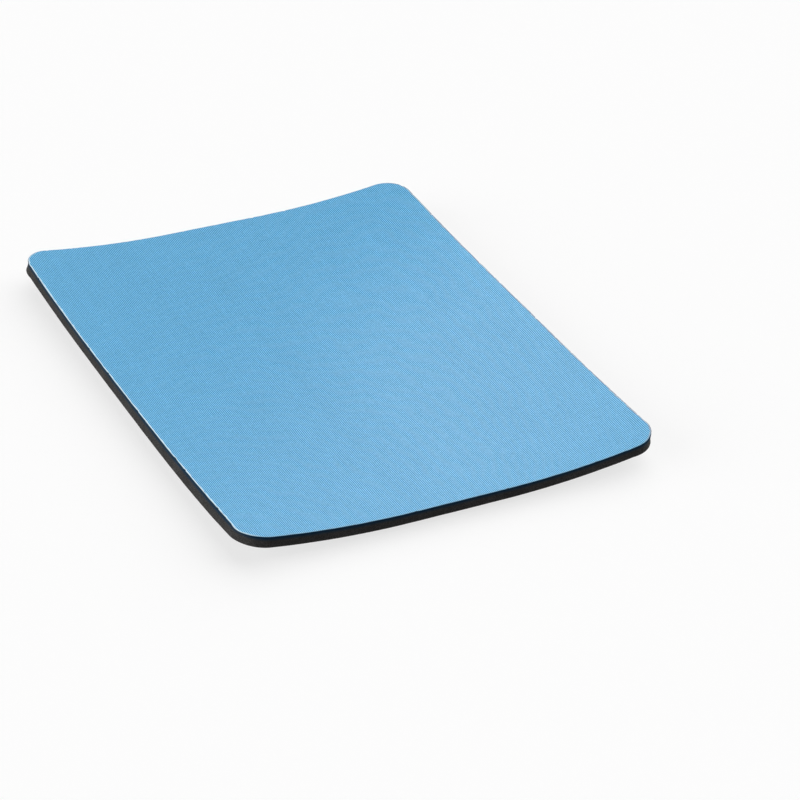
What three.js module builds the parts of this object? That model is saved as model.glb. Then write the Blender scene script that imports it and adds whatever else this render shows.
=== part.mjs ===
// Cloth-topped mouse pad: a knitted cover bonded by a film of adhesive to a slab of foam rubber.
// The pad lies flat in the middle and its four edges curl up a little, as a pad does after it
// has been rolled or packed with its cloth drawn tight.
// Lengths are in millimetres. +X is the width, +Y the depth, +Z up. The origin is the middle of
// the underside, where the pad rests on the desk.

import * as THREE from 'three';
import { ParametricGeometry } from 'three/addons/geometries/ParametricGeometry.js';
import { mergeGeometries, mergeVertices } from 'three/addons/utils/BufferGeometryUtils.js';

// The cut blank, before it curls
const padWidth = 183;
const padDepth = 223;
const cornerRadius = 11.7;

// The laminate, from the desk up
const foamThickness = 5.25;
const filmThickness = 0.15;
const coverThickness = 0.6;

// The curl: the middle that lies flat, and how far each edge stands above it
const flatWidth = 40;
const flatDepth = 50;
const sideLift = 6.4;
const endLift = 3.05;

// A sheet that curls both ways has its corners drawn in, so its edges bow out a little
const cornerDrawWidth = 0.86;
const cornerDrawDepth = 0.64;

// How finely the curved surface is divided
const sideCells = 4;
const endCells = 5;
const cornerCells = 4;

// Points closer than this are one point
const weldDistance = 0.0001;

// A strip that rises as a parabola keeps its length, so its plan is shorter than the strip by
// this share of lift squared times reach cubed over run to the fourth.
const drawInShare = 2 / 3;

const colours = {
	cover: 0x6dafd9,
	film: 0x4a5a66,
	foam: 0x33302f,
};

// One direction of the blank: its length, the flat middle, the lift of its edges, how far its
// corners are drawn in, and its cells.
const across = {
	length: padWidth,
	flat: flatWidth,
	lift: sideLift,
	cornerDraw: cornerDrawWidth,
	cells: sideCells,
};
const along = {
	length: padDepth,
	flat: flatDepth,
	lift: endLift,
	cornerDraw: cornerDrawDepth,
	cells: endCells,
};

// Places of the grid lines on the blank, from one edge to the other. Lines lie at the ends of
// the flat middle and of the straight edge, so that the middle is truly flat.
function gridLines( way ) {

	const flatEnd = way.flat / 2;
	const arcStart = way.length / 2 - cornerRadius;
	const half = [ flatEnd ];

	for ( let i = 1; i <= way.cells; i ++ ) {

		half.push( flatEnd + ( arcStart - flatEnd ) * i / way.cells );

	}

	for ( let i = 1; i <= cornerCells; i ++ ) {

		half.push( arcStart + cornerRadius * Math.tan( Math.PI / 4 * i / cornerCells ) );

	}

	return [ ...half.map( ( s ) => - s ).reverse(), ...half ];

}

const linesAcross = gridLines( across );
const linesAlong = gridLines( along );
const cellsAcross = linesAcross.length - 1;
const cellsAlong = linesAlong.length - 1;

// Draws a point in a square corner of the grid onto the rounded corner of the blank.
function roundCorner( x, y ) {

	const pastX = Math.abs( x ) - ( padWidth / 2 - cornerRadius );
	const pastY = Math.abs( y ) - ( padDepth / 2 - cornerRadius );

	if ( pastX <= 0 || pastY <= 0 ) return [ x, y ];

	const pull = 1 - Math.max( pastX, pastY ) / Math.hypot( pastX, pastY );
	return [ x - Math.sign( x ) * pastX * pull, y - Math.sign( y ) * pastY * pull ];

}

// Height of the underside at a place on the blank, in one direction.
function liftAt( s, way ) {

	const run = ( way.length - way.flat ) / 2;
	const past = Math.max( 0, Math.abs( s ) - way.flat / 2 );
	return way.lift * ( past / run ) ** 2;

}

// Where a place on the blank comes to lie in plan, in one direction: drawn in by the lift of
// the edge, and near a corner by the curl both ways.
function drawnIn( s, way, nearCorner ) {

	const run = ( way.length - way.flat ) / 2;
	const past = Math.max( 0, Math.abs( s ) - way.flat / 2 );
	const byLift = drawInShare * way.lift ** 2 * past ** 3 / run ** 4;
	return s - Math.sign( s ) * ( byLift + way.cornerDraw * nearCorner );

}

// A grid point of the curled pad, raised by height above the underside.
function padPoint( column, row, height, target ) {

	const [ x, y ] = roundCorner( linesAcross[ column ], linesAlong[ row ] );
	const nearCorner = ( x / ( padWidth / 2 ) * y / ( padDepth / 2 ) ) ** 2;
	const lift = liftAt( x, across ) + liftAt( y, along );
	const planX = drawnIn( x, across, nearCorner );
	const planY = drawnIn( y, along, nearCorner );
	return target.set( planX, planY, lift + height );

}

// The whole surface at one height above the underside.
function sheetAt( height ) {

	return new ParametricGeometry( ( u, v, target ) => {

		const column = Math.round( u * cellsAcross );
		const row = Math.round( v * cellsAlong );
		padPoint( column, row, height, target );

	}, cellsAcross, cellsAlong );

}

// Column and row of the grid points round the edge, anticlockwise seen from above.
function edgePoints() {

	const points = [];
	for ( let i = 0; i < cellsAcross; i ++ ) points.push( [ i, 0 ] );
	for ( let j = 0; j < cellsAlong; j ++ ) points.push( [ cellsAcross, j ] );
	for ( let i = cellsAcross; i > 0; i -- ) points.push( [ i, cellsAlong ] );
	for ( let j = cellsAlong; j > 0; j -- ) points.push( [ 0, j ] );
	return points;

}

// The cut edge between two heights. The die cuts straight down, so the edge is upright.
function edgeBetween( low, high ) {

	const points = edgePoints();
	return new ParametricGeometry( ( u, v, target ) => {

		const [ column, row ] = points[ Math.round( u * points.length ) % points.length ];
		padPoint( column, row, v < 0.5 ? low : high, target );

	}, points.length, 1 );

}

// Turns a surface over, with its triangles where they were.
function turnedOver( surface ) {

	const corners = surface.getIndex();

	for ( let i = 0; i < corners.count; i += 3 ) {

		const second = corners.getX( i + 1 );
		corners.setX( i + 1, corners.getX( i + 2 ) );
		corners.setX( i + 2, second );

	}

	return surface;

}

// One layer of the laminate. Layers that touch are made from the same points, so that they
// meet face to face all over.
function layer( name, low, thickness, look ) {

	const high = low + thickness;
	const surfaces = [ turnedOver( sheetAt( low ) ), sheetAt( high ), edgeBetween( low, high ) ];

	for ( const surface of surfaces ) {

		surface.deleteAttribute( 'normal' );
		surface.deleteAttribute( 'uv' );

	}

	const geometry = mergeVertices( mergeGeometries( surfaces ), weldDistance );
	geometry.computeVertexNormals();
	const mesh = new THREE.Mesh( geometry, new THREE.MeshStandardMaterial( look ) );
	mesh.name = name;
	return mesh;

}

const filmBase = foamThickness;
const coverBase = filmBase + filmThickness;

const mousePad = new THREE.Group();
mousePad.name = 'mouse_pad';

// Base: black open-cell foam rubber, die-cut, which grips the desk and cushions the hand.
mousePad.add( layer( 'foam_base', 0, foamThickness, {
	color: colours.foam,
	roughness: 0.95,
	metalness: 0,
} ) );

// Bond: a thin film of hot-melt adhesive over the whole of the foam.
mousePad.add( layer( 'adhesive_film', filmBase, filmThickness, {
	color: colours.film,
	roughness: 0.5,
	metalness: 0,
} ) );

// Cover: fine-knit polyester cloth, dyed blue, the smooth working surface.
mousePad.add( layer( 'fabric_cover', coverBase, coverThickness, {
	color: colours.cover,
	roughness: 0.9,
	metalness: 0,
} ) );

export default mousePad;
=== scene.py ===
import math

import bpy
import numpy as np
from mathutils import Matrix, Vector, geometry, noise


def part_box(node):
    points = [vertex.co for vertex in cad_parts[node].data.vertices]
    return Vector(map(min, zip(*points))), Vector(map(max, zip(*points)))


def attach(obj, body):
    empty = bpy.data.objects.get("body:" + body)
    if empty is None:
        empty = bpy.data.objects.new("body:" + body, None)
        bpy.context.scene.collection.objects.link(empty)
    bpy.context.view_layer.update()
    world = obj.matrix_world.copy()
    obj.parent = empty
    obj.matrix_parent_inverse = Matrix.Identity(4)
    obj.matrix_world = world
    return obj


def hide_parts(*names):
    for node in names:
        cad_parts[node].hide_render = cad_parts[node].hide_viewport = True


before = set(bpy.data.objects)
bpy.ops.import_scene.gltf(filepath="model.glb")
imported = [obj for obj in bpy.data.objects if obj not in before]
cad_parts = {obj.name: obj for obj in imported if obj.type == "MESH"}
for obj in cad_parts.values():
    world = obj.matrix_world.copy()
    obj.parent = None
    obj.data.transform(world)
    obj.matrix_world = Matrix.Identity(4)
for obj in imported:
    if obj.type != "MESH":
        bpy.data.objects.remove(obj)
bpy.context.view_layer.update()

# Foam base: one slab of black open-cell foam rubber, moulded on a waffle-patterned belt and cut
# out together with its cloth. The foam gives way under the blade and springs back, so its side
# is cupped, and the blade stood a little askew, so its foot is tucked in at the front.
MM = 0.001
BLANK = np.array([183.0, 223.0])
CORNER_RADIUS = 11.7

# The curl of the blank in mm, across and along: its flat middle, how high its edges stand over
# that, and how far its corners are drawn in. The right side and the ends are drawn out a little,
# and each end more at the right than at the left.
FLAT_HALF = np.array([20.0, 25.0])
RUN = BLANK / 2 - FLAT_HALF
EDGE_LIFT = np.array([6.4, 3.05])
CORNER_DRAW = np.array([0.86, 0.64])
RIGHT_STRETCH = 0.7
END_STRETCH = 0.2
END_TAPER = 0.5

# A strip that rises as a parabola keeps its length, so its plan is shorter than the strip by
# this share of lift squared times reach cubed over run to the fourth.
DRAW_IN_SHARE = 2 / 3


def curled(points, heights):
    """Places on the blank, and heights above the underside, as points of the curled pad in metres."""
    past = np.maximum(np.abs(points) - FLAT_HALF, 0)
    lift = (EDGE_LIFT * (past / RUN) ** 2).sum(1)
    share = points / (BLANK / 2)
    near_corner = share.prod(1) ** 2
    drawn_in = DRAW_IN_SHARE * EDGE_LIFT**2 * past**3 / RUN**4 + CORNER_DRAW * near_corner[:, None]
    plan = points - np.sign(points) * drawn_in
    plan[:, 0] += RIGHT_STRETCH * np.maximum(share[:, 0], 0) ** 2
    plan[:, 1] += share[:, 1] * np.abs(share[:, 1]) * (END_STRETCH + END_TAPER * share[:, 0])
    return np.c_[plan, lift + heights] * MM


def outline(step):
    """Round the blank's edge: the middle that each point turns about, and its way outwards."""
    half = BLANK / 2 - CORNER_RADIUS
    steps_round = int(math.pi / 2 * CORNER_RADIUS / step)
    middles, outwards = [], []
    for quarter in range(4):
        turn = Matrix.Rotation(quarter * math.pi / 2, 2)
        across, along = half if quarter % 2 == 0 else half[::-1]
        for k in range(steps_round):
            angle = math.pi / 2 * k / steps_round
            middles.append(turn @ Vector((across, along)))
            outwards.append(turn @ Vector((math.cos(angle), math.sin(angle))))
        steps_straight = int(2 * across / step)
        for k in range(steps_straight):
            middles.append(turn @ Vector((across - 2 * across * k / steps_straight, along)))
            outwards.append(turn @ Vector((0, 1)))
    return np.array(middles), np.array(outwards)


def inset_of(points):
    """How far each place on the blank lies inside its edge, in mm."""
    past = np.abs(points) - (BLANK / 2 - CORNER_RADIUS)
    outside = np.hypot(*np.maximum(past, 0).T)
    return CORNER_RADIUS - outside - np.minimum(past.max(1), 0)


def grid_points(lines_across, lines_along, margin):
    """The crossings of two sets of lines that lie further than the margin inside the edge."""
    points = np.stack(np.meshgrid(lines_across, lines_along), -1).reshape(-1, 2)
    return points[inset_of(points) > margin]


# Points closer than this, in mm, are one point. A triangle smaller than this, in mm2, is a sliver
# between points that lie in line on a straight edge.
SAME_POINT = 1e-6
SLIVER = 0.005


def cap_faces(rim, inner):
    """Triangles, facing up, over all that the rim encloses. Inner points are numbered after it."""
    points = np.r_[rim, inner]
    border = list(range(len(rim)))
    inside_only = 1
    _, _, triangles, sources, _, _ = geometry.delaunay_2d_cdt(
        [Vector(p) for p in points], [], [border], inside_only, SAME_POINT, True
    )
    faces = np.array([[sources[corner][0] for corner in face] for face in triangles])
    a, b, c = (points[faces[:, corner]] for corner in range(3))
    area = np.cross(b - a, c - a) / 2
    return faces[area > SLIVER]


def new_object(name, data):
    """Adds an object to the scene, at the origin."""
    made = bpy.data.objects.new(name, data)
    bpy.context.collection.objects.link(made)
    return made


# The flat top of each layer has rings of points next to its edge, over this width, and a loose
# grid of points further in.
RIM = 3.0
LOOSE_STEP = 4.0
LOOSE_MARGIN = 5.0
loose_grid = [np.arange(-length / 2, length / 2, LOOSE_STEP) for length in BLANK]


def layer_mesh(name, step, profile, ragged, top_points, under_points, under_relief):
    """A closed layer. Its profile runs from the top over the cut edge to the underside, as pairs
    of inset and height. ragged gives what to add to an inset at a place, and the relief is how
    much higher than the last height each point of the underside lies. Each point keeps how far
    round the edge it lies, in mm along the profile past the end of its flat top."""
    middles, outwards = outline(step)
    count = len(middles)
    rings = []
    for inset, height in profile:
        reach = CORNER_RADIUS - inset
        ring = middles + outwards * reach
        rough = np.array([ragged(x, y, inset, height) for x, y in ring])
        rings.append(middles + outwards * (reach - rough)[:, None])
    heights = np.repeat([height for _, height in profile], count)
    points = np.r_[(*rings, top_points, under_points)]
    rises = profile[-1][1] + under_relief
    heights = np.r_[heights, np.full(len(top_points), profile[0][1]), rises]
    column = np.arange(count)
    after = (column + 1) % count
    row = np.arange(len(profile) - 1)[:, None] * count
    sides = np.stack([row + column, row + count + column, row + count + after, row + after], -1)
    top_faces = cap_faces(rings[0], top_points)
    first_inner = len(profile) * count
    top_faces[top_faces >= count] += first_inner - count
    under_faces = cap_faces(rings[-1], under_points)
    on_rim = under_faces < count
    last_ring = first_inner - count
    under_faces[on_rim] += last_ring
    under_faces[~on_rim] += last_ring + len(top_points)
    faces = [*sides.reshape(-1, 4).tolist(), *top_faces.tolist(), *under_faces[:, ::-1].tolist()]
    mesh = bpy.data.meshes.new(name)
    mesh.from_pydata(curled(points, heights).tolist(), [], faces)
    mesh.shade_smooth()
    past = np.r_[0, np.hypot(*np.diff(profile, axis=0).T).cumsum()] - RIM
    past_top, past_under = np.full(len(top_points), past[0]), np.full(len(under_points), past[-1])
    round_edge = mesh.attributes.new("round_edge", "FLOAT", "POINT").data
    round_edge.foreach_set("value", np.r_[np.repeat(past, count), past_top, past_under])
    return new_object(name, mesh)


def way_out(x, y):
    """Which way the nearest edge faces, across and along: 0 away from it, and 1 square on."""
    past = np.maximum(np.abs([x, y]) - BLANK / 2 + CORNER_RADIUS, 0)
    return np.sign([x, y]) * past / CORNER_RADIUS


# The cut side leans out from its top, is cupped, and has a rounded foot. The blade pressed its
# top edge down a little, from the last ring of the flat top outwards.
FOAM_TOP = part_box("adhesive_film")[0].z / MM
FOAM_STEP = 0.4
FOAM_TOP_RINGS = (RIM, 1.0, 0.6)
TOP_PRESSED = 0.06
SIDE_ROWS = 12
SIDE_LEAN = 0.34
SIDE_CUP = 0.16
FOOT_ROWS = 3
FOOT_ROUND = 0.25
FOAM_UNDER_RING = 2.4

# The slanted cut sets the foot back, so it is tucked in at the front and stands out behind. The
# front right and back left corners are pushed out whole. The foot spreads all along the right
# side. On the left its spread begins a little behind the middle, grows over a long stretch, and
# fades out again before the front.
CUT_SLANT = 1.3
CORNER_PUSH = 1.1
SIDE_SPREAD = 0.75
SPREAD_FROM = 30.0
SPREAD_RISE = 90.0
SPREAD_FALL = 28.0

# How deep the blade wandered, cells were torn and larger pores were opened, and how many of each
# there are in a millimetre. A pore is where its noise is over the threshold.
WANDER, WANDERS_PER_MM = 0.07, 0.12
TORN_CELL, CELLS_PER_MM = 0.05, 1.4
OPEN_PORE, PORES_PER_MM = 0.25, 2.2
PORE_THRESHOLD = 0.35
PORE_PLACE = Vector((31, 7, 3))


def foam_ragged(x, y, inset, height):
    """The unevenness of the foam's side: its slanted and spread cut, torn cells and open pores."""
    if inset > SIDE_LEAN + SIDE_CUP + FOOT_ROUND:
        return 0.0
    out_x, out_y = way_out(x, y)
    rise = min(1.0, max(0.0, SPREAD_FROM - y) / SPREAD_RISE)
    fall = min(1.0, (BLANK[1] / 2 + y) / SPREAD_FALL)
    spread = SIDE_SPREAD * max(out_x, -out_x * rise * fall) + CUT_SLANT * out_y
    push = CORNER_PUSH * max(0.0, -out_x * out_y)
    lean = -push - (1 - height / FOAM_TOP) * spread
    place = Vector((x, y, height))
    wander = WANDER * (noise.noise(place * WANDERS_PER_MM) + 1)
    cells = TORN_CELL * (noise.noise(place * CELLS_PER_MM) + 1)
    pore = max(0.0, noise.noise(place * PORES_PER_MM + PORE_PLACE) - PORE_THRESHOLD)
    return lean + wander + cells + OPEN_PORE * pore


foam_profile = [(SIDE_LEAN + inset, FOAM_TOP) for inset in FOAM_TOP_RINGS]
for k in range(SIDE_ROWS + 1):
    down = k / SIDE_ROWS
    inset = SIDE_LEAN * (1 - down) + SIDE_CUP * 4 * down * (1 - down)
    fall = (FOOT_ROUND + TOP_PRESSED - FOAM_TOP) * down
    foam_profile.append((inset, FOAM_TOP - TOP_PRESSED + fall))
for k in range(1, FOOT_ROWS + 1):
    turn = math.pi / 2 * k / FOOT_ROWS
    inset = FOOT_ROUND * (1 - math.cos(turn))
    foam_profile.append((inset, FOOT_ROUND * (1 - math.sin(turn))))
foam_profile.append((FOAM_UNDER_RING, 0.0))

# The waffle of the underside stops a little inside the edge.
WAFFLE_PITCH = 3.0
WAFFLE_MARGIN = 3.0
GROOVE_HALF = 0.3
GROOVE_DEPTH = 0.16


def waffle_lines(length):
    """Places of the waffle's V-shaped grooves along one side of the blank: rim, bottom and rim."""
    count = int(length / 2 / WAFFLE_PITCH)
    grooves = np.arange(-count, count + 1) * WAFFLE_PITCH
    return (grooves[:, None] + np.array([-GROOVE_HALF, 0.0, GROOVE_HALF])).ravel()


def waffle_relief(points):
    """How deep the waffle's grooves are at each place."""
    from_groove = np.abs(points - np.round(points / WAFFLE_PITCH) * WAFFLE_PITCH)
    return np.where((from_groove < GROOVE_HALF / 2).any(1), GROOVE_DEPTH, 0.0)


foam_under = grid_points(*(waffle_lines(length) for length in BLANK), WAFFLE_MARGIN)
foam = layer_mesh(
    "foam_slab",
    FOAM_STEP,
    foam_profile,
    foam_ragged,
    grid_points(*loose_grid, LOOSE_MARGIN),
    foam_under,
    waffle_relief(foam_under),
)


def colour(code):
    """An sRGB hex colour as the linear colour that a shader takes."""
    shares = [int(code[i : i + 2], 16) / 255 for i in (0, 2, 4)]
    return (*[s / 12.92 if s <= 0.04045 else ((s + 0.055) / 1.055) ** 2.4 for s in shares], 1.0)


def add(tree, kind, inputs=None, **settings):
    """Adds a node with its settings. An input is a value, or a node or socket to link from."""
    made = tree.nodes.new("ShaderNode" + kind)
    for key, value in settings.items():
        setattr(made, key, value)
    for key, value in (inputs or {}).items():
        if isinstance(value, bpy.types.Node):
            value = value.outputs["Result"] if "Result" in value.outputs else value.outputs[0]
        if isinstance(value, bpy.types.NodeSocket):
            tree.links.new(value, made.inputs[key])
        else:
            made.inputs[key].default_value = value
    return made


def new_material(name, piece):
    """An empty material on a piece: its node tree, and a place in mm for its patterns."""
    material = bpy.data.materials.new(name)
    material.use_nodes = True
    tree = material.node_tree
    tree.nodes.clear()
    piece.data.materials.append(material)
    place = add(tree, "TexCoord").outputs["Object"]
    place = add(tree, "VectorMath", {0: place, "Scale": 1 / MM}, operation="SCALE")
    return tree, place


# Open-cell foam rubber, cut: matt and almost black, with fine dark pores between paler torn
# walls, which catch a little light and give the cut its grey grain. Some patches are denser.
PORE = 0.32
PORE_RELIEF = 0.06
PATCH = 9.0
PORE_BLACK = "1b1b1b"
WALL_GREY = "6c6a69"
tree, place = new_material("cut_foam_rubber", foam)
pores = add(tree, "TexVoronoi", {"Vector": place, "Scale": 1 / PORE})
walls = add(tree, "MapRange", {"Value": pores.outputs["Distance"], "From Min": 0.1, "From Max": 0.65})
grain = add(tree, "TexNoise", {"Vector": place, "Scale": 1 / PORE, "Detail": 4.0, "Roughness": 0.7})
patches = add(tree, "TexNoise", {"Vector": place, "Scale": 1 / PATCH, "Detail": 2.0})
tone = add(
    tree,
    "MapRange",
    {"Value": patches, "From Min": 0.3, "From Max": 0.7, "To Min": 0.75, "To Max": 1.25},
)
torn = add(tree, "Math", {0: walls, 1: grain}, operation="MULTIPLY")
shade = add(tree, "Math", {0: torn, 1: tone}, operation="MULTIPLY", use_clamp=True)
foam_colour = add(
    tree,
    "Mix",
    {"Factor": shade, "A": colour(PORE_BLACK), "B": colour(WALL_GREY)},
    data_type="RGBA",
)

# The top of the cut is dark blue: glue and dye have soaked in, and painted shade under the cloth's
# edge darkens it further. It fades to bare foam further down. The foot is painted darker, as shade
# where the side turns under onto the floor. Both end raggedly, along the grain.
SOAK_AND_SHADE_TO, BARE_UNSHADED_FROM = 0.5, 2.2
SOAKED_AND_SHADED_BLUE = "0c3650"
FOOT_SHADE_HEIGHT = 0.3
FOOT_SHADE_BLACK = "141414"
RAGGED_END = 0.3
down = add(tree, "Attribute", attribute_name="round_edge").outputs["Fac"]
down = add(tree, "Math", {0: grain, 1: RAGGED_END, 2: down}, operation="MULTIPLY_ADD")
# Dark blue band at the top of the cut: soaked glue and dye, with painted shade under the cloth's
# edge.
bare_unshaded = add(tree, "MapRange", {"Value": down, "From Min": SOAK_AND_SHADE_TO, "From Max": BARE_UNSHADED_FROM})
foam_colour = add(
    tree,
    "Mix",
    {"Factor": bare_unshaded, "A": colour(SOAKED_AND_SHADED_BLUE), "B": foam_colour},
    data_type="RGBA",
)
# Painted shade at the foot, where the side turns under onto the floor.
foot_shade = add(tree, "MapRange", {"Value": down, "From Min": FOAM_TOP - FOOT_SHADE_HEIGHT, "From Max": FOAM_TOP})
foam_colour = add(
    tree, "Mix", {"Factor": foot_shade, "A": foam_colour, "B": colour(FOOT_SHADE_BLACK)}, data_type="RGBA"
)
foam_rough = add(tree, "MapRange", {"Value": grain, "To Min": 0.82, "To Max": 0.98})
foam_bump = add(tree, "Bump", {"Strength": 0.6, "Distance": PORE_RELIEF * MM, "Height": torn})
foam_shader = add(
    tree,
    "BsdfPrincipled",
    {
        "Base Color": foam_colour,
        "Roughness": foam_rough,
        "Normal": foam_bump,
        "IOR": 1.52,
        "Specular IOR Level": 0.15,
    },
)
add(tree, "OutputMaterial", {"Surface": foam_shader})
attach(foam, "root")
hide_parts("foam_base")

# Adhesive film: hot-melt polyurethane film, ironed between cloth and foam. It is drawn back a
# little from the cut, so all that shows is a dark, faintly shiny line under the cloth's edge.
FILM_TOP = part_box("fabric_cover")[0].z / MM
FILM_STEP = 1.0
FILM_BACK = 0.4

# Its edge bulges out in a bead, and its faces stay a hair clear of the foam and of the cloth.
FILM_BEAD = 0.06
BEADS_PER_MM = 0.9
FILM_CLEAR = 0.006


def film_ragged(x, y, inset, height):
    """The bead of the melted film, which creeps a little further out in places."""
    if inset > FILM_BACK + FILM_BEAD:
        return 0.0
    return FILM_BEAD * noise.noise(Vector((x, y, height)) * BEADS_PER_MM)


film_high, film_low = FILM_TOP - FILM_CLEAR, FOAM_TOP + FILM_CLEAR
film_profile = [
    (RIM, film_high),
    (FILM_BACK + FILM_BEAD, film_high),
    (FILM_BACK, (film_high + film_low) / 2),
    (FILM_BACK + FILM_BEAD, film_low),
    (RIM, film_low),
]
film_inner = grid_points(*loose_grid, LOOSE_MARGIN)
flat_under = np.zeros(len(film_inner))
film = layer_mesh(
    "glue_film", FILM_STEP, film_profile, film_ragged, film_inner, film_inner, flat_under
)

# Hot-melt polyurethane: a smooth dark plastic, glossy where it has flowed and dull where it
# touched the foam, so the line under the cloth has small glints.
GLINT = 1.5
FLOW_RELIEF = 0.03
FLOWED_GREY = "16191c"
DULL_BLACK = "0c0d0f"
tree, place = new_material("hot_melt_polyurethane", film)
flow = add(tree, "TexNoise", {"Vector": place, "Scale": 1 / GLINT, "Detail": 3.0})
film_rough = add(tree, "MapRange", {"Value": flow, "To Min": 0.3, "To Max": 0.6})
film_colour = add(
    tree,
    "Mix",
    {"Factor": flow.outputs["Fac"], "A": colour(FLOWED_GREY), "B": colour(DULL_BLACK)},
    data_type="RGBA",
)
film_bump = add(tree, "Bump", {"Strength": 0.5, "Distance": FLOW_RELIEF * MM, "Height": flow})
film_shader = add(
    tree,
    "BsdfPrincipled",
    {"Base Color": film_colour, "Roughness": film_rough, "Normal": film_bump, "IOR": 1.5},
)
add(tree, "OutputMaterial", {"Surface": film_shader})
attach(film, "root")
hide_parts("adhesive_film")

# Cover: fine-knit polyester jersey, dyed sky blue and bonded over the whole foam. Its wales run
# along the depth. The die rolls the cloth's edge over into a soft shoulder, where cut fibres show
# as a thin pale line with small frays, partly painted light, and tucks the cut itself in under it.
CORNER_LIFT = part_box("foam_base")[1].z / MM - FOAM_TOP
COVER_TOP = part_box("fabric_cover")[1].z / MM - CORNER_LIFT
COVER_STEP = 0.25
COVER_MARGIN = 6.0
COVER_TOP_RINGS = (RIM, 1.0, 0.2)
SHOULDER = 0.6
SHOULDER_DROP = 0.34
SHOULDER_ROWS = 8
TUCK = 0.3
TUCK_CURVE = 1.5
TUCK_ROWS = 4
COVER_UNDER_RINGS = (0.8, RIM)

# The cut cloth wavers, its yarns end unevenly, and it has a few nicks, where their noise is over
# the threshold. All of this changes less over a height than along the edge, and fades out inside
# the shoulder.
WAVER, WAVERS_PER_MM = 0.1, 0.25
YARN_END, YARN_ENDS_PER_MM = 0.05, 2.6
NICK, NICKS_PER_MM = 0.9, 0.45
NICK_THRESHOLD = 0.3
NICK_PLACE = Vector((11, 5, 2))
HEIGHT_SHARE = 0.3
FADE_WIDTH = 1.0

# Spare cloth stands out at the front left corner, with a trace of it at the back left one.
CORNER_SPARE = 3.3
BACK_SPARE_SHARE = 0.1


def cover_ragged(x, y, inset, height):
    """What the cut cloth's unevenness adds to an inset, and its spare cloth takes from it."""
    if inset > SHOULDER + FADE_WIDTH:
        return 0.0
    fade = min(1.0, (FADE_WIDTH + SHOULDER - inset) / FADE_WIDTH)
    place = Vector((x, y, height * HEIGHT_SHARE))
    waver = WAVER * noise.noise(place * WAVERS_PER_MM)
    yarn_ends = YARN_END * noise.noise(place * YARN_ENDS_PER_MM)
    nick = max(0.0, noise.noise(place * NICKS_PER_MM + NICK_PLACE) - NICK_THRESHOLD)
    out_x, out_y = way_out(x, y)
    spare = CORNER_SPARE * max(0.0, -out_x) ** 3 * max(-out_y, BACK_SPARE_SHARE * out_y)
    return fade * (waver + yarn_ends + NICK * nick - spare)


cover_profile = [(SHOULDER + inset, COVER_TOP) for inset in COVER_TOP_RINGS]
for k in range(SHOULDER_ROWS + 1):
    turn = math.pi / 2 * k / SHOULDER_ROWS
    inset = SHOULDER * (1 - math.sin(turn))
    cover_profile.append((inset, COVER_TOP - SHOULDER_DROP * (1 - math.cos(turn))))
for k in range(1, TUCK_ROWS + 1):
    down = k / TUCK_ROWS
    fall = (COVER_TOP - SHOULDER_DROP - FILM_TOP) * down
    cover_profile.append((TUCK * down**TUCK_CURVE, COVER_TOP - SHOULDER_DROP - fall))
cover_profile += [(inset, FILM_TOP) for inset in COVER_UNDER_RINGS]
cover = layer_mesh(
    "knit_cover",
    COVER_STEP,
    cover_profile,
    cover_ragged,
    grid_points(*loose_grid, COVER_MARGIN),
    film_inner,
    flat_under,
)

# Knitted polyester: matt, with a faint gloss on the crowns of its stitches. Each wale is a column
# of V-shaped stitches, two legs that lean towards its middle, and the deep gap to the next wale
# is painted darker, as shade. The wales drift a little, as in any knit that has been stretched.
WALE = 0.77
COURSE = 0.5
DRIFT = 1.5 * WALE
DRIFT_LENGTH = 16.0
tree, place = new_material("knitted_polyester", cover)
drift = add(tree, "TexNoise", {"Vector": place, "Scale": 1 / DRIFT_LENGTH, "Detail": 1.0})
drift = add(
    tree, "VectorMath", {0: drift.outputs["Color"], 1: (0.5, 0.5, 0.5)}, operation="SUBTRACT"
)
drift = add(tree, "VectorMath", {0: drift, "Scale": DRIFT}, operation="SCALE")
place = add(tree, "VectorMath", {0: place, 1: drift}, operation="ADD")
axes = add(tree, "SeparateXYZ", {0: place})

# In shares of a wale, side is how far a place lies from the wale's middle line, up to half a wale
# at the gap. The middle of each leg lies half way there, and a leg climbs so many courses for
# each wale of its lean.
GAP_SIDE = 0.5
LEG_SIDE = 0.25
LEG_CLIMB = 1.6
wales = add(tree, "Math", {0: axes.outputs["X"], 1: WALE}, operation="DIVIDE")
within = add(tree, "Math", {0: wales}, operation="FRACT")
side = add(tree, "Math", {0: within, 1: GAP_SIDE}, operation="SUBTRACT")
side = add(tree, "Math", {0: side}, operation="ABSOLUTE")
courses = add(tree, "Math", {0: axes.outputs["Y"], 1: COURSE}, operation="DIVIDE")
courses = add(tree, "Math", {0: side, 1: LEG_CLIMB, 2: courses}, operation="MULTIPLY_ADD")
stitch = add(tree, "Math", {0: courses}, operation="FRACT")

# The surface is lowest in the gap, a little lower beside the middle of a leg, and lower again
# where one stitch comes out of the last. Its fuzz is drawn far coarser than the fibres are, so
# that it shows.
GAP_DEPTH = 0.78
LEG_DEPTH = 0.22
STITCH_LOW = 0.68
FUZZ = 0.16
FUZZ_HEIGHT = 0.12
leg = add(tree, "Math", {0: side, 1: LEG_SIDE}, operation="SUBTRACT")
leg = add(tree, "Math", {0: leg, 1: 1 / LEG_SIDE}, operation="MULTIPLY")
leg = add(tree, "Math", {0: leg, 1: 2.0}, operation="POWER")
rib = add(tree, "Math", {0: side, 1: 1 / GAP_SIDE}, operation="MULTIPLY")
rib = add(tree, "Math", {0: rib, 1: 2.0}, operation="POWER")
hollow = add(tree, "Math", {0: leg, 1: LEG_DEPTH}, operation="MULTIPLY")
hollow = add(tree, "Math", {0: rib, 1: GAP_DEPTH, 2: hollow}, operation="MULTIPLY_ADD")
across = add(tree, "Math", {0: 1.0, 1: hollow}, operation="SUBTRACT")
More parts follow.
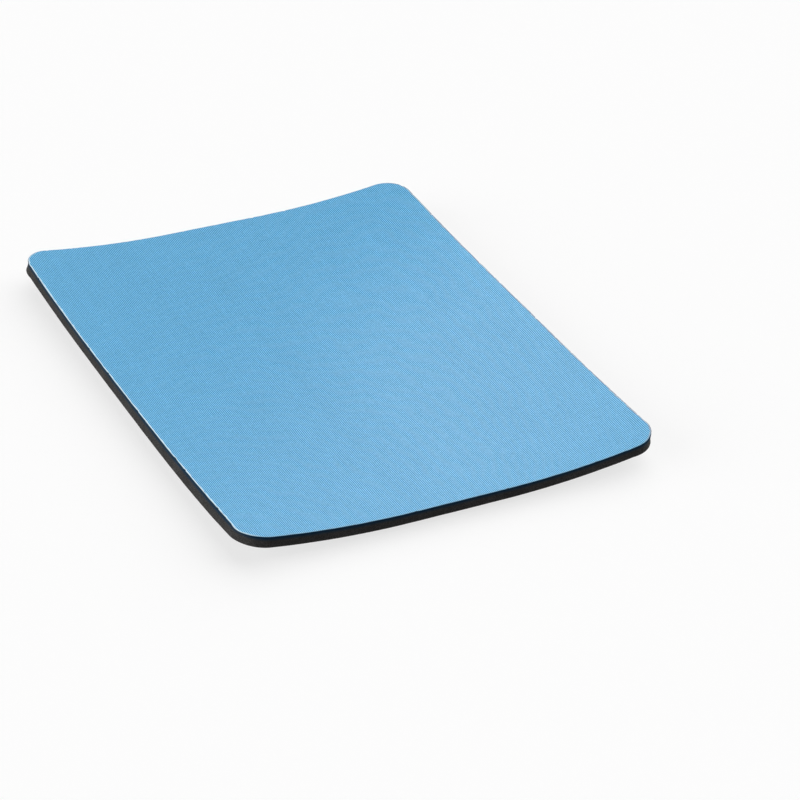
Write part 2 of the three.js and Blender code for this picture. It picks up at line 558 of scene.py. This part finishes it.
loop = add(tree, "Math", {0: stitch, 1: math.pi}, operation="MULTIPLY")
loop = add(tree, "Math", {0: loop}, operation="SINE")
loop = add(tree, "MapRange", {"Value": loop, "From Max": 0.5, "To Min": STITCH_LOW, "To Max": 1.0})
knit = add(tree, "Math", {0: across, 1: loop}, operation="MULTIPLY")
fuzz = add(tree, "TexNoise", {"Vector": place, "Scale": 1 / FUZZ, "Detail": 2.0})
knit = add(tree, "Math", {0: fuzz, 1: FUZZ_HEIGHT, 2: knit}, operation="MULTIPLY_ADD")

# The yarn is painted deep blue low down, as shade where light is lost between the fibres, and
# pale on the crowns, as painted sheen.
LOW, CROWN = 0.48, 0.9
LOW_PAINTED_SHADE_BLUE = "006db0"
CROWN_PAINTED_SHEEN_BLUE = "8ad4f8"
rise = add(tree, "MapRange", {"Value": knit, "From Min": LOW, "From Max": CROWN})
# Painted shade low in the knit, and painted sheen on its crowns.
yarn = add(
    tree,
    "Mix",
    {"Factor": rise, "A": colour(LOW_PAINTED_SHADE_BLUE), "B": colour(CROWN_PAINTED_SHEEN_BLUE)},
    data_type="RGBA",
)

# No two yarns took up quite the same dye, and neither did each stitch along them.
STREAK = 0.02
SPECK = 0.05
MOTTLE = 0.015
MOTTLE_LENGTH = 14.0
wale = add(tree, "Math", {0: wales}, operation="FLOOR")
course = add(tree, "Math", {0: courses}, operation="FLOOR")
cell = add(tree, "CombineXYZ", {"X": wale, "Y": course})
streak = add(tree, "TexWhiteNoise", {"W": wale}, noise_dimensions="1D")
speck = add(tree, "TexWhiteNoise", {"Vector": cell}, noise_dimensions="2D")
mottle = add(tree, "TexNoise", {"Vector": place, "Scale": 1 / MOTTLE_LENGTH, "Detail": 3.0})
streak = add(
    tree,
    "MapRange",
    {"Value": streak.outputs["Value"], "To Min": 1 - STREAK, "To Max": 1 + STREAK},
)
speck = add(
    tree,
    "MapRange",
    {"Value": speck.outputs["Value"], "To Min": 1 - SPECK, "To Max": 1 + SPECK},
)
mottle = add(
    tree,
    "MapRange",
    {"Value": mottle, "From Min": 0.3, "From Max": 0.7, "To Min": 1 - MOTTLE, "To Max": 1 + MOTTLE},
)
dye = add(tree, "Math", {0: streak, 1: speck}, operation="MULTIPLY")
dye = add(tree, "Math", {0: dye, 1: mottle}, operation="MULTIPLY")
yarn = add(tree, "VectorMath", {0: yarn.outputs["Result"], "Scale": dye}, operation="SCALE")

# The cut fibres are paler, from just inside the shoulder on, in frays of uneven reach. Their pale
# line is partly their own and partly painted light: it is painted brightest at the sides, with
# painted shade dimming and bluing it at the ends, and whiter at the left, lit by the low box there,
# than at the greyer, shaded right. The sides' look comes in between two insets from their edges.
FRAY = 0.3
FRAY_LENGTH = 3.0
PALE_FROM, PALE_TO = -0.2, 0.1
SIDE_FROM, SIDE_TO = BLANK[0] / 2 - np.array([9.5, 1.5])
PAINTED_LIGHT_HALF = BLANK[0] / 2 - 6.5
END_CUT_SHADED_SHARE = 0.35
LEFT_CUT_PAINTED_LIGHT = "d8effc"
RIGHT_CUT_PAINTED_SHADE = "a4b3c4"
END_CUT_PAINTED_SHADE = "9cbccd"
edge = add(tree, "Attribute", attribute_name="round_edge").outputs["Fac"]
fray = add(
    tree,
    "TexNoise",
    {"Vector": place, "Scale": 1 / FRAY_LENGTH, "Detail": 4.0, "Roughness": 0.65},
)
fray = add(
    tree,
    "MapRange",
    {"Value": fray, "From Min": 0.3, "From Max": 0.7, "To Min": -FRAY, "To Max": FRAY},
)
frayed = add(tree, "Math", {0: edge, 1: fray}, operation="ADD")
pale = add(tree, "MapRange", {"Value": frayed, "From Min": PALE_FROM, "From Max": PALE_TO})
from_middle = add(tree, "Math", {0: axes.outputs["X"]}, operation="ABSOLUTE")
at_side = add(tree, "MapRange", {"Value": from_middle, "From Min": SIDE_FROM, "From Max": SIDE_TO})
# The pale line is painted weaker at the ends, as shade.
painted_end_shade = add(tree, "MapRange", {"Value": at_side, "To Min": END_CUT_SHADED_SHARE, "To Max": 1.0})
pale = add(tree, "Math", {0: pale, 1: painted_end_shade}, operation="MULTIPLY")
# Painted light on the cut fibres at the left, fading to painted shade at the right.
painted_shade_rightwards = add(
    tree,
    "MapRange",
    {"Value": axes.outputs["X"], "From Min": -PAINTED_LIGHT_HALF, "From Max": PAINTED_LIGHT_HALF},
)
cut_yarn_painted_light = add(
    tree,
    "Mix",
    {"Factor": painted_shade_rightwards, "A": colour(LEFT_CUT_PAINTED_LIGHT), "B": colour(RIGHT_CUT_PAINTED_SHADE)},
    data_type="RGBA",
)
# Painted shade dims and blues the cut fibres at the ends.
cut_yarn_painted_light = add(
    tree, "Mix", {"Factor": at_side, "A": colour(END_CUT_PAINTED_SHADE), "B": cut_yarn_painted_light}, data_type="RGBA"
)
cloth_colour = add(tree, "Mix", {"Factor": pale, "A": yarn, "B": cut_yarn_painted_light}, data_type="RGBA")

# Glue, and painted shade under the shoulder, darken the cut itself, which is tucked in there.
GLUE_SHADE_FROM, GLUE_SHADE_TO = 0.4, 0.56
GLUE_AND_SHADE_BLUE = "082b46"
glue_and_shade = add(tree, "MapRange", {"Value": edge, "From Min": GLUE_SHADE_FROM, "From Max": GLUE_SHADE_TO})
cloth_colour = add(
    tree, "Mix", {"Factor": glue_and_shade, "A": cloth_colour, "B": colour(GLUE_AND_SHADE_BLUE)}, data_type="RGBA"
)

# Only the crowns have a gloss worth seeing: the fibres below them lie in each other's shade.
CROWN_GLOSS = 0.032
STITCH_RELIEF = 0.1
cloth_rough = add(tree, "MapRange", {"Value": fuzz, "To Min": 0.36, "To Max": 0.46})
gloss = add(tree, "MapRange", {"Value": rise, "To Max": CROWN_GLOSS})
cloth_bump = add(
    tree,
    "Bump",
    {"Strength": 0.8, "Filter Width": 0.2, "Distance": STITCH_RELIEF * MM, "Height": knit},
)
cloth_shader = add(
    tree,
    "BsdfPrincipled",
    {
        "Base Color": cloth_colour,
        "Roughness": cloth_rough,
        "Normal": cloth_bump,
        "IOR": 1.57,
        "Specular IOR Level": gloss,
    },
)
add(tree, "OutputMaterial", {"Surface": cloth_shader})
corners_cut = (4 - math.pi) * CORNER_RADIUS**2
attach(cover, "root")
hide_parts("fabric_cover")
float(BLANK.prod() - corners_cut) * MM**2

# Floor: white seamless paper, a hair below the foam. It bounces less light than it shows to the
# camera, so that it looks white while the pad's shadow stays on it.
FLOOR_HALF = 3000.0
FLOOR_DROP = 0.01
PAPER_WHITE = "ffffff"
PAPER_BOUNCE = "747474"
PAPER_GLOW = 0.73
square = [(-1, -1), (1, -1), (1, 1), (-1, 1)]
floor_corners = [(x * FLOOR_HALF * MM, y * FLOOR_HALF * MM, -FLOOR_DROP * MM) for x, y in square]
floor_mesh = bpy.data.meshes.new("paper_floor")
floor_mesh.from_pydata(floor_corners, [], [(0, 1, 2, 3)])
floor = new_object("paper_floor", floor_mesh)


def seen_straight(tree):
    """1 for what the camera or a glossy surface sees, and 0 for light on its way to the pad."""
    ray = add(tree, "LightPath").outputs
    return add(tree, "Math", {0: ray["Is Camera Ray"], 1: ray["Is Glossy Ray"]}, operation="MAXIMUM")


# Uncoated paper: quite matt, so that a plain diffuse surface stands for it, without any sheen.
tree, _ = new_material("white_paper", floor)
straight = seen_straight(tree)
paper_colour = add(
    tree,
    "Mix",
    {"Factor": straight, "A": colour(PAPER_BOUNCE), "B": colour(PAPER_WHITE)},
    data_type="RGBA",
)
paper = add(tree, "BsdfDiffuse", {"Color": paper_colour})
glow = add(tree, "Emission", {"Color": colour(PAPER_WHITE), "Strength": 1.0})
share = add(tree, "Math", {0: straight, 1: PAPER_GLOW}, operation="MULTIPLY")
paper = add(tree, "MixShader", {0: share, 1: paper, 2: glow})
add(tree, "OutputMaterial", {"Surface": paper})

# Light: a broad soft box overhead at the right, a low one on the left that lights the cut side,
# and a pale room. Their levels add up to about full light on the cloth, at which a colour renders
# as it is written. A small gridded lamp near the back right corner adds gloss and nothing else.


def direction(azimuth, elevation):
    """The way from the pad towards a place round it. Azimuth 0 is in front and 90 at the right."""
    a, e = math.radians(azimuth), math.radians(elevation)
    return Vector((math.sin(a) * math.cos(e), -math.cos(a) * math.cos(e), math.sin(e)))


def new_lamp(name, kind, towards):
    """A lamp that stands in the given direction and shines back along it."""
    lamp = new_object(name, bpy.data.lights.new(name, kind))
    lamp.rotation_mode = "QUATERNION"
    lamp.rotation_quaternion = towards.to_track_quat("Z", "Y")
    return lamp


def soft_box(name, azimuth, elevation, spread, level):
    """A distant soft light. Its level is the share of full light that it gives to its own side."""
    box = new_lamp(name, "SUN", direction(azimuth, elevation))
    box.data.angle = math.radians(spread)
    box.data.energy = level * math.pi


soft_box("overhead_box", azimuth=112, elevation=52, spread=90, level=0.86)
soft_box("left_box", azimuth=268, elevation=16, spread=50, level=0.66)

# The gridded lamp is aimed at the middle of the front edge. It stands so close to the pad that it
# glosses the front of the cloth more than the back. Its power is in watts.
GRID_AIM = (15.0, -105.0, 8.0)
GRID_AZIMUTH, GRID_ELEVATION = 150, 28
GRID_DISTANCE = 270.0
GRID_WIDTH = 140.0
GRID_SPREAD = 100
GRID_POWER = 0.31
to_lamp = direction(GRID_AZIMUTH, GRID_ELEVATION)
gridded_box = new_lamp("gridded_box", "AREA", to_lamp)
gridded_box.location = Vector([s * MM for s in GRID_AIM]) + to_lamp * (GRID_DISTANCE * MM)
gridded_box.visible_diffuse = False
gridded_box.data.shape = "DISK"
gridded_box.data.size = GRID_WIDTH * MM
gridded_box.data.spread = math.radians(GRID_SPREAD)
gridded_box.data.energy = GRID_POWER

# The room is white to the eye, and dim in what it adds to the light on the pad.
ROOM_WHITE = "ffffff"
ROOM_LEVEL = 0.045
world = bpy.data.worlds.new("pale_room")
world.use_nodes = True
bpy.context.scene.world = world
tree = world.node_tree
tree.nodes.clear()
strength = add(
    tree, "MapRange", {"Value": seen_straight(tree), "To Min": ROOM_LEVEL, "To Max": 1.0}
)
room = add(tree, "Background", {"Color": colour(ROOM_WHITE), "Strength": strength})
add(tree, "OutputWorld", {"Surface": room})

# Camera: the photograph's view, from the front left and above, held a little tilted. It looks
# past the middle of the cloth, in mm to its right and upwards, through a long lens.
AZIMUTH, ELEVATION, ROLL = -30.8, 33.31, 4.99
DISTANCE = 1152.0
AIM_RIGHT, AIM_UP = 29.75, -16.64
LENS = 126.58
roll = math.radians(ROLL)
back = direction(AZIMUTH, ELEVATION)
level_right = Vector((math.cos(math.radians(AZIMUTH)), math.sin(math.radians(AZIMUTH)), 0))
level_up = back.cross(level_right)
right = level_right * math.cos(roll) + level_up * math.sin(roll)
up = level_up * math.cos(roll) - level_right * math.sin(roll)
camera = new_object("camera", bpy.data.cameras.new("camera"))
camera.data.lens = LENS
camera.location = (
    Vector((0, 0, COVER_TOP * MM))
    + back * (DISTANCE * MM)
    + right * (AIM_RIGHT * MM)
    + up * (AIM_UP * MM)
)
camera.rotation_mode = "QUATERNION"
camera.rotation_quaternion = Matrix((right, up, back)).transposed().to_quaternion()
bpy.context.scene.camera = camera
bpy.context.scene.view_settings.view_transform = "Standard"
